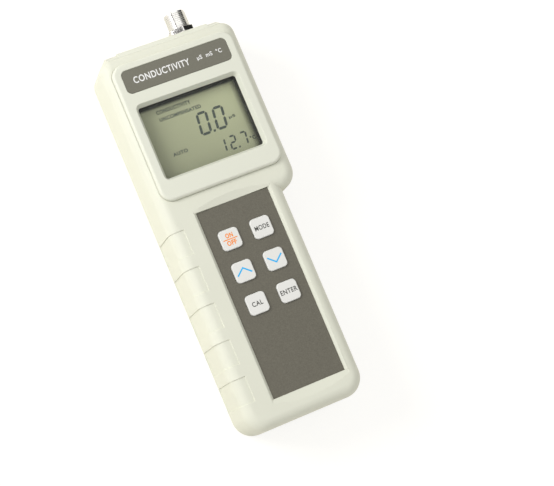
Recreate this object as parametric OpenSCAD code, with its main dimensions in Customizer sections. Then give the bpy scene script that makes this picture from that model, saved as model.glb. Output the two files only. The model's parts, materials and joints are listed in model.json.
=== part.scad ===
// Hand-held conductivity meter, lying on its back, in millimetres.
// +Z points out of the display, +Y to the probe connector, +X to the reader's right.
// The origin is on the back face, half way along the case.

/* [Case] */
// Length of the case without the end plate
case_l = 191.4; // [190:0.1:200]
// Height from the back face to the keypad surround
case_h = 34; // [34:0.1:38]
// Width of the head, which holds the display
head_w = 70.2; // [70:0.1:76]
// Length of the head
head_l = 87.7; // [86:0.1:90]
// Step from the head's right side in to the handle
handle_step = 9.1; // [7:0.1:9.5]
// Wall of the two shells
wall = 2.4; // [2.2:0.1:2.6]
// Height of the joint line between the shells
split_z = 7.5; // [7:0.1:9]
// Gap that shows between the shells
seam = 0.25; // [0.15:0.05:0.4]
// Height of the lip that centres the shells
lip_h = 1.5; // [1:0.1:2.5]
// Radius of the head's top corners in plan
head_r = 6.4; // [6.2:0.1:9]
// Radius of the head's lower corners in plan
shoulder_r = 9; // [7:0.1:10]
// Corner radius of the handle's bottom end in plan
handle_r = 10; // [9:0.1:12]
// Rounding of the front edges
front_r = 5.8; // [5:0.1:6.1]
// Rounding of the back edges
back_r = 5; // [4:0.1:5.5]

/* [Finger grips] */
// Number of finger recesses on the left side
grip_n = 5; // [3:1:5]
// Length of one recess
grip_l = 12.5; // [9:0.1:15]
// Spacing of the recesses
grip_pitch = 18.6; // [17:0.1:19]
// Depth of a recess
grip_d = 0.5; // [0.4:0.1:1]
// Reach of a recess over the front from the left side
grip_reach = 7.7; // [6.5:0.1:8.5]
// From the head's lower edge down to the first recess
grip_start = 1.8; // [0:0.1:4]

/* [Keypad] */
// Width of the keypad overlay
pad_w = 37.4; // [35:0.1:39]
// Length of the keypad overlay
pad_l = 94.7; // [90:0.1:96]
// Margin from the case's bottom end to the overlay
pad_margin = 12.4; // [11.5:0.1:14]
// Depth of the overlay below the surround
pad_d = 1.3; // [1:0.1:1.4]
// Thickness of the overlay
overlay_t = 0.3; // [0.2:0.1:0.4]
// Width of the bevel along the overlay's sides
pad_bevel = 1.3; // [1:0.1:1.6]
// Height of the scoops at the overlay's ends
scoop_sag = 6; // [4:0.1:7]
// Side of a square key
key_w = 10; // [8:0.1:11]
// Corner radius of a key
key_r = 2; // [1.5:0.1:3]
// Spacing of the keys both ways
key_pitch = 16.5; // [15.5:0.1:17]
// From the overlay's top edge to the first row of keys
key_start = 17.2; // [14:0.1:20]
// Height of a key above the overlay
key_proud = 1.1; // [0.8:0.1:1.5]
// Travel of a key
key_travel = 0.7; // [0.4:0.1:0.8]
// Clearance round a key
key_gap = 0.2; // [0.15:0.05:0.3]

/* [Display] */
// Width of the raised bezel
bezel_w = 63; // [62:0.1:64]
// Length of the raised bezel
bezel_l = 69.9; // [68:0.1:71]
// Margin from the case's top end to the bezel
bezel_margin = 5.4; // [5:0.1:6.4]
// Corner radius of the bezel
bezel_r = 6; // [4:0.1:7]
// Height of the bezel's face above the case
bezel_rise = 2.2; // [1.8:0.1:3]
// Depth that the bezel is let into the case
bezel_seat = 1; // [0.8:0.1:1.1]
// Width of the window
window_w = 50.5; // [49:0.1:51.5]
// Height of the window
window_l = 36.2; // [34:0.1:37.5]
// From the bezel's top edge to the window
window_start = 22.5; // [21:0.1:24]
// Width of the bevel round the window
window_bevel = 1.5; // [1:0.1:2]
// Corner radius of the window
window_r = 1.2; // [0.8:0.1:2]
// Thickness of the clear window
lens_t = 1.8; // [1.5:0.1:2]
// Lap of the window behind the bezel
lens_lap = 1.9; // [1.2:0.1:2]
// Width of the name plate
plate_w = 54.4; // [50:0.1:56]
// Height of the name plate
plate_l = 11.5; // [10:0.1:13]
// From the bezel's top edge to the name plate
plate_start = 3.6; // [3:0.1:4.5]
// Thickness of the name plate
plate_t = 0.5; // [0.3:0.1:0.8]
// Depth of the display below the window's underside
lcd_depth = 3.5; // [2.5:0.1:4]
// Thickness of each glass of the display
glass_t = 1.1; // [0.7:0.1:1.2]

/* [End plate and connector] */
// Width of the end plate
end_w = 59.2; // [54:0.1:60]
// Width of the end plate's sloping middle
end_mid_w = 47.4; // [42:0.1:50]
// Thickness of the end plate
end_t = 1.9; // [1.5:0.1:3]
// Connector axis, right of the middle
socket_x = 13.2; // [8:0.1:14]
// Connector axis above the back
socket_z = 19; // [18:0.1:20]
// Outside diameter of the connector barrel
barrel_d = 10.5; // [10:0.1:12]
// Bore of the connector barrel
barrel_bore = 8.6; // [7.5:0.1:9]
// Reach of the barrel beyond the nut
barrel_reach = 8.2; // [6:0.1:10]
// Depth of the open socket
socket_depth = 7; // [5:0.1:7.5]
// Size of the hexagon nut across its flats
nut_af = 11.7; // [11.5:0.1:14]
// Height of the nut
nut_h = 3.2; // [2.5:0.1:4]
// Thickness of the washer under the nut
washer_t = 0.8; // [0.5:0.1:1.2]
// Number of contacts on the ring
contact_n = 6; // [4:1:6]

/* [Battery] */
// Width of the battery
cell_w = 26.5; // [25.5:0.1:26.5]
// Thickness of the battery
cell_h = 17.5; // [16.5:0.1:17.5]
// Length of the battery's body
cell_l = 46.4; // [45.5:0.1:46.8]
// Wall of the battery compartment
bay_wall = 1.2; // [1:0.1:1.5]
// Thickness of the battery door
door_t = 2; // [1.8:0.1:2]
// Width of the battery door
door_w = 30.4; // [30:0.1:31]

/* [Circuit board] */
// Thickness of the board
board_t = 1.6; // [1.2:0.1:1.6]
// Width of the board in the head
board_w = 63; // [60:0.1:64]
// Width of the board in the handle
board_tail_w = 45; // [43:0.1:46]

/* [Fasteners] */
// Shank diameter of a case screw
screw_d = 2.9; // [2.5:0.1:3.1]
// Head diameter of a case screw
screw_head_d = 5.4; // [5:0.1:5.8]
// Length of a case screw's shank
screw_l = 12; // [10:0.5:14]
// Diameter of a screw boss
boss_d = 5.6; // [5.2:0.1:6]
// Shank diameter of a board screw
board_screw_d = 2; // [1.8:0.1:2.2]

/* [Hidden] */

cream = [0.86, 0.86, 0.78];
dark = [0.30, 0.29, 0.26];
white = [0.92, 0.92, 0.90];
steel = [0.80, 0.80, 0.82];
green = [0.10, 0.35, 0.18];
black = [0.08, 0.08, 0.08];
$fn = 48;
eps = 0.01;
// Clearance that shows as a hairline
snug = 0.1;
// Clearance between pieces that seat in each other
fit = 0.15;
// Clearance of a loose fit
loose = 0.3;

// Levels, from the back face up
pad_z = case_h - pad_d;
bezel_z0 = case_h - bezel_seat;
bezel_z1 = case_h + bezel_rise;
lens_z = bezel_z0 - lens_t;
ceiling_z = case_h - wall;
glass_z = lens_z - lcd_depth;
cell_z = door_t + 0.2;
bay_z = cell_z + cell_h + 0.2;
strip_h = 3.4;
board_z1 = glass_z - glass_t - strip_h;
board_z0 = board_z1 - board_t;

// Places in plan
top_y = case_l / 2;
left_x = -head_w / 2;
head_y = top_y - head_l;
handle_x1 = head_w / 2 - handle_step;
handle_cx = (left_x + handle_x1) / 2;
handle_y1 = head_y + 2 * shoulder_r;
pad_y0 = -top_y + pad_margin;
pad_y1 = pad_y0 + pad_l;
key_y = pad_y1 - key_start;
bezel_y1 = top_y - bezel_margin;
bezel_cy = bezel_y1 - bezel_l / 2;
window_cy = bezel_y1 - window_start - window_l / 2;
plate_cy = bezel_y1 - plate_start - plate_l / 2;
end_y = top_y + end_t;

// Keys, as [column, row]
key_places = [[-1, 0], [1, 0], [-1, 1], [-1, 2], [1, 1], [1, 2]];
function key_at(c, r) = [c * key_pitch / 2, key_y - r * key_pitch];
key_centres = [for (k = key_places) key_at(k[0], k[1])];
key_flange_w = key_w + 1.8;

// Display parts
lens_w = window_w + 2 * lens_lap;
lens_l = window_l + 2 * lens_lap;
glass_w = window_w + 5.5;
glass_l = window_l + 9.8;
lens_r = 1.7;
plate_r = 2.5;
plate_z0 = bezel_z1 - plate_t - snug;
bezel_edge_r = 1.5;
film_z = glass_z - 2 * glass_t;
film_t = 0.3;
ledge = 3;
mat_t = 1;
dome_h = 2;
pill_t = 0.9;
key_foot_z = board_z1 + mat_t + dome_h + key_travel + fit;
scoop_step = 0.3;
frame_wall = 1.5;
frame_w = glass_w + 2 * (frame_wall + loose);
frame_l = glass_l + 2 * (frame_wall + loose);

// Board outline and its screws
board_y1 = window_cy + frame_l / 2 + 6;
board_y0 = key_y - 2 * key_pitch - 9.2;
board_neck_y = window_cy - frame_l / 2 - 4;
board_boss_d = 4.8;

// Pins under the bezel and pegs behind the end plate
bezel_pin_d = 2;
bezel_pin_places = [
    for (x = [-1, 1], y = [-1, 1]) [x * (bezel_w / 2 - bezel_pin_d / 2 - 1.1), bezel_cy + y * (bezel_l / 2 - 8)]
];
peg_d = 3;
peg_xs = [-(end_w / 2 - 8), end_w / 2 - 8];

// Case screws
screw_places = [
    [head_w / 2 - 8.1, top_y - 9.2], [left_x + 8.1, top_y - 9.2],
    [head_w / 2 - 7.8, head_y + 7.8], [left_x + 7.8, head_y + 7.8],
    [handle_x1 - 10.1, -top_y + 10.2], [left_x + 10.1, -top_y + 10.2]
];
well_z = 2;
screw_head_h = 1.8;
rear_boss_d = screw_head_d + 2 * loose + 2.4;

// Battery bay
bay_cx = handle_cx;
bay_in = cell_w / 2 + 0.5;
bay_y0 = -top_y + wall + 0.9;
cell_y = bay_y0 + bay_wall + loose;
stud_h = 2.9;
// The battery's studs, as [place across, diameter]
studs = [[-6.35, 5.7], [6.35, 8.4]];
snap_l = 4.6;
bay_y1 = cell_y + cell_l + stud_h + snap_l;
door_y1 = bay_y1 + 1.5;
rail_reach = 1.2;
door_open = door_w / 2 + loose;
board_screw_places = [
    for (s = [-1, 1]) each [
        [s * 20, board_y1 - 2.9],
        [s * (board_tail_w / 2 - 3), board_neck_y - 3],
        [s * (board_tail_w / 2 - 3), bay_y1 + bay_wall + 2.6]
    ]
];

// Connector
nut_y1 = end_y + washer_t + nut_h;
barrel_y1 = nut_y1 + barrel_reach;
relief_w = 0.4;
shank_d = barrel_d - 0.4;
core_d = barrel_bore - 0.8;
peg_z = split_z + lip_h + 2;
inner_y = top_y - wall;
flange_t = 2;
insert_y = barrel_y1 - socket_depth;
insert_back = inner_y - flange_t - 4;
contact_r = 2.4;

// Helper forms

// Right half of a round-edged disc's profile, from z0 to z1
module rim(r, z0, z1, front, back) {
    translate([0, z0]) square([r - back, z1 - front - z0]);
    translate([0, z0 + back]) square([r, z1 - front - z0 - back]);
    translate([0, z0 + back]) square([r - front, z1 - z0 - back]);
    intersection() {
        union() {
            if (back > 0) translate([r - back, z0 + back]) circle(back);
            translate([r - front, z1 - front]) circle(front);
        }
        translate([0, z0]) square([r, z1 - z0]);
    }
}

// Corner and straight side with the same round-edged profile
module corner_piece(r, z0, z1, front, back) {
    rotate_extrude(angle = 90) rim(r, z0, z1, front, back);
}

module side_piece(l, r, z0, z1, front, back) {
    rotate([90, 0, 90]) linear_extrude(l) rim(r, z0, z1, front, back);
}

// Block with rounded corners and edges: radius ra at its low end in y, rb at its high end
module block_form(x0, x1, y0, y1, z0, z1, ra, rb, front, back) {
    translate([x1 - rb, y1 - rb]) corner_piece(rb, z0, z1, front, back);
    translate([x0 + rb, y1 - rb]) rotate(90) corner_piece(rb, z0, z1, front, back);
    translate([x0 + ra, y0 + ra]) rotate(180) corner_piece(ra, z0, z1, front, back);
    translate([x1 - ra, y0 + ra]) rotate(270) corner_piece(ra, z0, z1, front, back);
    translate([x0 + rb, y1 - rb]) side_piece(x1 - x0 - 2 * rb, rb, z0, z1, front, back);
    translate([x1 - ra, y0 + ra]) rotate(180) side_piece(x1 - x0 - 2 * ra, ra, z0, z1, front, back);
    translate([x0 + rb, y0 + ra]) rotate(90) side_piece(y1 - y0 - ra - rb, rb, z0, z1, front, back);
    translate([x1 - rb, y1 - rb]) rotate(270) side_piece(y1 - y0 - ra - rb, rb, z0, z1, front, back);
    translate([x0 + rb, y0 + ra, z0]) cube([x1 - x0 - 2 * rb, y1 - y0 - ra - rb, z1 - z0]);
}

module head_form(inset) {
    block_form(left_x + inset, -left_x - inset, head_y + inset, top_y - inset,
        inset, case_h - inset, shoulder_r - inset, head_r - inset, front_r - inset, back_r - inset);
}

module handle_form(inset) {
    block_form(left_x + inset, handle_x1 - inset, -top_y + inset, handle_y1 - inset,
        inset, case_h - inset, handle_r - inset, shoulder_r - inset, front_r - inset, back_r - inset);
}

module case_form(inset) {
    head_form(inset);
    handle_form(inset);
}

// Plan outline of the case's upright walls
module case_plan(inset) {
    round_span(left_x + inset, -left_x - inset, head_y + inset, top_y - inset,
        shoulder_r - inset, head_r - inset);
    round_span(left_x + inset, handle_x1 - inset, -top_y + inset, handle_y1 - inset,
        handle_r - inset, shoulder_r - inset);
}

module round_span(x0, x1, y0, y1, ra, rb) {
    translate([x0, y0 + ra]) square([x1 - x0, y1 - y0 - ra - rb]);
    translate([x0 + ra, y0]) square([x1 - x0 - 2 * ra, ra]);
    translate([x0 + rb, y1 - rb]) square([x1 - x0 - 2 * rb, rb]);
    for (x = [x0 + ra, x1 - ra]) translate([x, y0 + ra]) circle(ra);
    for (x = [x0 + rb, x1 - rb]) translate([x, y1 - rb]) circle(rb);
}

module box(x0, x1, y0, y1, z0, z1) {
    translate([x0, y0, z0]) cube([x1 - x0, y1 - y0, z1 - z0]);
}

module round_rect(w, l, r) {
    round_span(-w / 2, w / 2, -l / 2, l / 2, r, r);
}

// Children at each place of a list, on one level
module at_each(places, z) {
    for (p = places) translate([p[0], p[1], z]) children();
}

// Children turned to stand along +Y from a point
module along_y(x, y, z) {
    translate([x, y, z]) rotate([-90, 0, 0]) children();
}

// Square block centred on the axis
module square_block(w, z0, z1) {
    translate([-w / 2, -w / 2, z0]) cube([w, w, z1 - z0]);
}

module round_plate(w, l, r, z0, z1) {
    translate([0, 0, z0]) linear_extrude(z1 - z0) round_rect(w, l, r);
}

// Finger recesses: what lies in their bands but outside a handle that is smaller by their depth
module finger_cuts() {
    difference() {
        for (i = [0:grip_n - 1])
            let (y1 = head_y - grip_start - i * grip_pitch)
                box(left_x - 1, left_x + grip_reach, y1 - grip_l, y1, back_r, case_h + 1);
        handle_form(grip_d);
    }
}

// Tube with a given radius along a list of points
function unit(v) = v / norm(v);
function path_dir(p, i) = unit(p[min(i + 1, len(p) - 1)] - p[max(i - 1, 0)]);
function path_side(p, i) = unit(cross(path_dir(p, i), [0.3, 0.2, 1]));
module tube(p, r, sides = 8) {
    rings = [for (i = [0:len(p) - 1])
        let (d = path_dir(p, i), s = path_side(p, i), u = cross(s, d))
            for (k = [0:sides - 1]) p[i] + r * (cos(k * 360 / sides) * s + sin(k * 360 / sides) * u)];
    last = (len(p) - 1) * sides;
    polyhedron(
        points = rings,
        faces = concat(
            [[for (k = [0:sides - 1]) k]],
            [[for (k = [sides - 1:-1:0]) last + k]],
            [for (i = [0:len(p) - 2], k = [0:sides - 1]) let (n = (k + 1) % sides)
                [i * sides + k, (i + 1) * sides + k, (i + 1) * sides + n, i * sides + n]]),
        convexity = 6);
}

// Case shells

// Trapezium across the keypad, from the overlay's level out and up past the surround
function pad_slopes() = [[pad_w / 2, pad_z], [pad_w / 2 + 2 * pad_bevel, pad_z + 2 * pad_d],
    [-pad_w / 2 - 2 * pad_bevel, pad_z + 2 * pad_d], [-pad_w / 2, pad_z]];

module along_pad(l) {
    rotate([90, 0, 0]) linear_extrude(l, center = true) children();
}

// Cone that falls from an arc in the surround to a low step along the overlay's end edge
module scoop(edge_y, way) {
    half = pad_w / 2 + pad_bevel;
    r = (half * half + scoop_sag * scoop_sag) / (2 * scoop_sag);
    slope = scoop_sag / (pad_d - scoop_step);
    intersection() {
        translate([0, edge_y + way * (scoop_sag - r), pad_z - fit])
            cylinder(r1 = r - slope * (pad_d + fit), r2 = r + slope * fit, h = pad_d + 2 * fit, $fn = 96);
        translate([0, edge_y + way * (scoop_sag + 2), 0]) along_pad(2 * scoop_sag) polygon(pad_slopes());
    }
}

// Overlay recess, whose sides slope out to the surround and whose ends are scoops
module pad_recess() {
    translate([0, (pad_y0 + pad_y1) / 2, 0]) along_pad(pad_l)
        polygon(concat([[-pad_w / 2, pad_z - overlay_t], [pad_w / 2, pad_z - overlay_t]], pad_slopes()));
    scoop(pad_y1, 1);
    scoop(pad_y0, -1);
}

module key_openings(gap, z0, z1) {
    at_each(key_centres, 0) round_plate(key_w + 2 * gap, key_w + 2 * gap, key_r + gap, z0, z1);
}

module front_case() {
    well_w = key_flange_w + 2 * key_gap;
    color(cream) difference() {
        union() {
            difference() {
                case_form(0);
                case_form(wall);
                finger_cuts();
                box(-head_w, head_w, -case_l, case_l, -1, split_z + seam / 2);
                // Rebate for the rear shell's lip
                linear_extrude(split_z + lip_h) case_plan(wall / 2);
            }
            at_each(screw_places, split_z + lip_h) cylinder(d = boss_d, h = ceiling_z - split_z - lip_h + 0.5);
            at_each(board_screw_places, board_z1) cylinder(d = board_boss_d, h = ceiling_z - board_z1 + 0.5);
            // Guide wells for the keys
            at_each(key_centres, 0) square_block(well_w + 2, ceiling_z - 3, ceiling_z + 0.2);
        }
        pad_recess();
        key_openings(key_gap, ceiling_z - 5, case_h);
        at_each(key_centres, 0) square_block(well_w, ceiling_z - 5, ceiling_z);
        // Bezel seat, with the opening for the window
        translate([0, bezel_cy, 0])
            round_plate(bezel_w + 2 * snug, bezel_l + 2 * snug, bezel_r + snug, bezel_z0, case_h + 1);
        translate([0, window_cy, 0])
            round_plate(lens_w + 2 * loose, lens_l + 2 * loose, lens_r + loose, ceiling_z - 1, case_h);
        at_each(bezel_pin_places, ceiling_z - 1) cylinder(d = bezel_pin_d + 2 * fit, h = wall + 2);
        // Screw pilots
        at_each(screw_places, split_z) cylinder(d = screw_d, h = 13);
        at_each(board_screw_places, board_z1 - 1) cylinder(d = board_screw_d, h = 7);
        // Connector hole
        along_y(socket_x, inner_y - 2, socket_z) cylinder(d = barrel_d + 2 * fit, h = wall + 4);
        for (x = peg_xs) along_y(x, inner_y - 2, peg_z) cylinder(d = peg_d + 2 * fit, h = wall + 4);
    }
}

module rear_case() {
    color(cream) difference() {
        union() {
            difference() {
                case_form(0);
                case_form(wall);
                finger_cuts();
                box(-head_w, head_w, -case_l, case_l, split_z - seam / 2, case_h + 1);
            }
            // Lip inside the front shell
            translate([0, 0, split_z - 1]) linear_extrude(lip_h + 1) difference() {
                case_plan(wall / 2 + fit);
                case_plan(wall + 0.4);
            }
            at_each(screw_places, wall - 0.5) cylinder(d = rear_boss_d, h = split_z + lip_h - wall + 0.5);
            battery_bay();
        }
        at_each(screw_places, -1) {
            cylinder(d = screw_head_d + 2 * loose, h = well_z + 1 + screw_head_h);
            cylinder(d = screw_d + 2 * fit, h = case_h);
        }
        battery_bay_cuts();
    }
}

module battery_bay() {
    w = bay_in + bay_wall;
    difference() {
        box(bay_cx - w, bay_cx + w, bay_y0, bay_y1 + bay_wall, wall - 0.5, bay_z + bay_wall);
        box(bay_cx - bay_in, bay_cx + bay_in, bay_y0 + bay_wall, bay_y1, 0, bay_z);
    }
    for (s = [-1, 1])
        translate([bay_cx + s * (door_open + rail_reach - 0.5), 0, 0])
            box(-2.5, 2.5, bay_y0, bay_y1 + bay_wall, door_t + 0.2, door_t + 2.4);
}

module battery_bay_cuts() {
    // Door opening, open at the bottom end
    box(bay_cx - door_open, bay_cx + door_open, -case_l, door_y1 + loose, -1, door_t + 0.2);
    box(bay_cx - door_open, bay_cx + door_open, -case_l, -top_y + wall + 0.1, -1, case_h);
    translate([bay_cx, -top_y, 0]) rotate([90, 0, 90]) linear_extrude(2 * door_open, center = true)
        difference() {
            square(back_r);
            translate([back_r, back_r]) circle(back_r - wall - 0.05);
        }
    // Grooves for the door's tongues
    groove_w = 2 * (door_open + rail_reach);
    box(bay_cx - groove_w / 2, bay_cx + groove_w / 2, -case_l, door_y1 + loose, 0.9, door_t + 0.2);
    box(bay_cx - bay_in, bay_cx + bay_in, bay_y0 + bay_wall, bay_y1, -1, bay_z);
    // Notch for the battery leads
    box(bay_cx - 4.5, bay_cx + 4.5, bay_y1 - 1, bay_y1 + bay_wall + 1, 9, 14);
}

module battery_door() {
    inner_r = back_r - door_t;
    color(cream) difference() {
        union() {
            translate([bay_cx, 0, 0]) rotate([90, 0, 90]) linear_extrude(door_w, center = true) difference() {
                union() {
                    intersection() {
                        translate([-top_y + back_r, back_r]) circle(back_r);
                        translate([-top_y, 0]) square(back_r);
                    }
                    translate([-top_y + back_r, 0]) square([door_y1 + top_y - back_r, 2 * back_r]);
                    translate([-top_y, back_r]) square([2 * back_r, split_z - back_r - loose]);
                }
                translate([-top_y + back_r, back_r]) circle(inner_r);
                translate([-top_y + back_r, door_t]) square([case_l, case_h]);
                translate([-top_y + door_t, back_r]) square([case_l, case_h]);
            }
            for (s = [-1, 1])
                translate([bay_cx + s * (door_w / 2 + rail_reach / 2 - 0.5), 0, 0])
                    box(-rail_reach / 2 - 0.5, rail_reach / 2 + 0.4, -top_y + back_r + 3, door_y1 - 3, 1.1, door_t);
        }
        // Thumb ribs
        for (i = [0:4])
            translate([bay_cx, -top_y + 12 + i * 2.4, 0]) rotate([0, 90, 0])
                cylinder(r = 0.6, h = 18, center = true, $fn = 24);
    }
}

// Display

// Right half of the window opening's profile: upright below, then sloping out to the bezel's face
module opening_rim(r) {
    slope = window_bevel / (bezel_z1 - bezel_z0);
    polygon([[0, bezel_z0 - 1], [r, bezel_z0 - 1], [r, bezel_z0],
        [r + window_bevel + slope, bezel_z1 + 1], [0, bezel_z1 + 1]]);
}

module bevelled_opening() {
    x = window_w / 2 - window_r;
    y = window_l / 2 - window_r;
    for (a = [0:90:270]) rotate(a) {
        w = a % 180 == 0 ? x : y;
        l = a % 180 == 0 ? y : x;
        translate([w, l]) rotate_extrude(angle = 90) opening_rim(window_r);
        translate([w, l, 0]) rotate([90, 0, 0]) linear_extrude(2 * l) opening_rim(window_r);
    }
    box(-x, x, -y, y, bezel_z0 - 1, bezel_z1 + 1);
}

module display_bezel() {
    color(cream) difference() {
        union() {
            block_form(-bezel_w / 2, bezel_w / 2, bezel_y1 - bezel_l, bezel_y1, bezel_z0, bezel_z1,
                bezel_r, bezel_r, bezel_edge_r, 0.2);
            at_each(bezel_pin_places, ceiling_z - 0.4) cylinder(d = bezel_pin_d, h = bezel_seat + wall);
        }
        translate([0, window_cy, 0]) bevelled_opening();
        translate([0, plate_cy, 0])
            round_plate(plate_w + 2 * fit, plate_l + 2 * fit, plate_r + fit, plate_z0, bezel_z1 + 1);
    }
}

module name_plate() {
    color(dark) translate([0, plate_cy, 0]) round_plate(plate_w, plate_l, plate_r, plate_z0, plate_z0 + plate_t);
}

module display_window() {
    color([0.8, 0.85, 0.85, 0.4]) translate([0, window_cy, 0])
        round_plate(lens_w, lens_l, lens_r, lens_z, bezel_z0);
}

module display_frame() {
    color(black) translate([0, window_cy, 0]) difference() {
        round_plate(frame_w, frame_l, 1.5, board_z1, lens_z);
        round_plate(window_w + 1, window_l + 1, 1, board_z1 - 1, lens_z + 1);
        round_plate(glass_w + 2 * fit, glass_l + 2 * fit, 0.5, board_z1 - 1, glass_z);
    }
}

module glass_plate(w, l, z0, z1) {
    translate([0, window_cy, z0]) linear_extrude(z1 - z0) square([w, l], center = true);
}

module lcd_front_glass() {
    color([0.7, 0.75, 0.6, 0.6]) glass_plate(glass_w, glass_l, glass_z - glass_t, glass_z);
}

module lcd_rear_glass() {
    color([0.65, 0.68, 0.52]) glass_plate(glass_w, glass_l - 2 * ledge, film_z, glass_z - glass_t);
}

module lcd_reflector() {
    color([0.6, 0.62, 0.48]) glass_plate(glass_w - 1, glass_l - 2 * ledge - 1, film_z - film_t, film_z);
}

module lcd_pad() {
    color(black) glass_plate(glass_w - 2, glass_l - 2 * ledge - 2, board_z1, film_z - film_t);
}

module lcd_contact_strips() {
    color(black) for (s = [-1, 1])
        translate([0, window_cy + s * (glass_l - ledge) / 2, board_z1]) linear_extrude(strip_h)
            square([glass_w - 6, 2], center = true);
}

// Keypad

module keypad_overlay() {
    color(dark) difference() {
        box(-pad_w / 2 + 0.1, pad_w / 2 - 0.1, pad_y0 + 0.1, pad_y1 - 0.1, pad_z - overlay_t, pad_z);
        key_openings(key_gap, pad_z - 1, pad_z + 1);
    }
}

module key_cap(c, r) {
    base = ceiling_z - 1.3;
    color(white) translate(key_at(c, r)) {
        block_form(-key_w / 2, key_w / 2, -key_w / 2, key_w / 2, base, pad_z + key_proud, key_r, key_r, 0.5, 0.1);
        square_block(key_flange_w, base, base + 1.1);
        translate([0, 0, key_foot_z]) cylinder(d = 5, h = ceiling_z - 1 - key_foot_z);
    }
}

module key_on_off() { key_cap(-1, 0); }
module key_mode() { key_cap(1, 0); }
module key_up() { key_cap(-1, 1); }
module key_down() { key_cap(1, 1); }
module key_cal() { key_cap(-1, 2); }
module key_enter() { key_cap(1, 2); }

module key_mat() {
    color([0.5, 0.5, 0.5]) difference() {
        union() {
            translate([0, key_y - key_pitch, board_z1]) linear_extrude(mat_t)
                round_rect(2 * key_pitch + 1, 3 * key_pitch + 1, 2);
            at_each(key_centres, board_z1 + mat_t - eps) cylinder(d1 = 10, d2 = 6, h = dome_h + eps);
        }
        at_each(key_centres, board_z1 - eps) cylinder(d1 = 9, d2 = 4.4, h = mat_t + dome_h - 1);
    }
}

module key_pills() {
    color(black) at_each(key_centres, board_z1 + mat_t + dome_h - 1 - pill_t) cylinder(d = 3.4, h = pill_t - eps);
}

// Circuit board

module main_board() {
    color(green) difference() {
        union() {
            box(-board_w / 2, board_w / 2, board_neck_y, board_y1, board_z0, board_z1);
            box(-board_tail_w / 2, board_tail_w / 2, board_y0, board_neck_y + 1, board_z0, board_z1);
        }
        at_each(board_screw_places, board_z0 - 1) cylinder(d = board_screw_d + 0.4, h = board_t + 2);
    }
}

module chip(x, y, w, l, h, pins) {
    translate([x, y, board_z0]) {
        translate([-w / 2, -l / 2, -h]) cube([w, l, h - 0.1]);
        for (s = [-1, 1], i = [0:pins - 1])
            translate([s * (w / 2 + 0.3) - 0.6, -l / 2 + l * (i + 0.5) / pins - 0.2, -h / 2])
                cube([1.2, 0.4, h / 2]);
    }
}

module board_chips() {
    color(black) {
        chip(0, window_cy + 4, 14, 14, 1.6, 12);
        chip(-18, window_cy - 8, 7.5, 12, 1.8, 8);
        chip(16, window_cy + 12, 4, 5, 1.5, 4);
        chip(16, window_cy + 2, 4, 5, 1.5, 4);
        chip(0, key_y - 6, 6, 10, 1.6, 7);
    }
}

module board_passives() {
    color([0.75, 0.65, 0.45]) for (i = [0:5], j = [0:1])
        translate([-25 + i * 3, window_cy + 10 + j * 5, board_z0 - 0.6]) cube([1.2, 2, 0.6]);
    color([0.15, 0.18, 0.3]) for (x = [-14, -5])
        translate([x, key_y + 8, board_z0 - 7]) cylinder(d = 5, h = 7);
}

module crystal() {
    color(steel) translate([16, window_cy - 12, board_z0 - 3.5]) linear_extrude(3.5) {
        square([6, 4], center = true);
        for (s = [-1, 1]) translate([s * 3, 0]) circle(2);
    }
}

module trimmers() {
    color([0.1, 0.25, 0.6]) for (x = [8, 18]) translate([x, key_y + 6, board_z0 - 4.5]) difference() {
        translate([-3.3, -3.3, 0]) cube([6.6, 6.6, 4.5]);
        translate([0, 0, -1]) cylinder(d = 3, h = 1.8);
    }
}

module board_screws() {
    color(steel) at_each(board_screw_places, board_z0) {
        translate([0, 0, -1.4]) cylinder(d = 4, h = 1.4);
        cylinder(d = board_screw_d - 0.2, h = board_t + 5);
    }
}

// Battery

module battery() {
    color([0.75, 0.55, 0.25]) translate([bay_cx, cell_y, cell_z]) {
        along_y(0, 0, cell_h / 2) linear_extrude(cell_l) round_rect(cell_w, cell_h, 2);
        for (s = studs) along_y(s[0], cell_l, cell_h / 2) cylinder(d = s[1], h = stud_h);
    }
}

module battery_snap() {
    y0 = cell_y + cell_l;
    color(black) difference() {
        box(bay_cx - cell_w / 2 + 0.5, bay_cx + cell_w / 2 - 0.5, y0 + 0.3, y0 + stud_h + 1.2,
            cell_z + cell_h / 2 - 6, cell_z + cell_h / 2 + 6);
        for (s = studs) along_y(bay_cx + s[0], y0 - 1, cell_z + cell_h / 2) cylinder(d = s[1] + 2 * loose, h = stud_h + 1);
    }
}

module battery_leads() {
    y0 = cell_y + cell_l + stud_h + 1.2;
    color([0.7, 0.1, 0.1]) for (s = [-1, 1])
        tube([
            [bay_cx + s * 2, y0, 11.5],
            [bay_cx + s * 2, bay_y1 + 1, 11.5],
            [bay_cx + s * 2, bay_y1 + 4, 12],
            [bay_cx + s * 2, bay_y1 + 6, 14],
            [bay_cx + s * 2, bay_y1 + 6.5, 17],
            [bay_cx + s * 2, bay_y1 + 6.5, board_z0 - 1],
            [bay_cx + s * 2, bay_y1 + 6.5, board_z0]
        ], 0.7);
}

// Fasteners

module case_screws() {
    color(steel) at_each(screw_places, well_z) difference() {
        union() {
            cylinder(d = screw_head_d, h = screw_head_h);
            cylinder(d = screw_d - 0.2, h = screw_head_h + screw_l);
        }
        for (a = [0, 90]) rotate(a) translate([-1.7, -0.35, -1]) cube([3.4, 0.7, 1.9]);
    }
}

// End plate and connector

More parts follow.
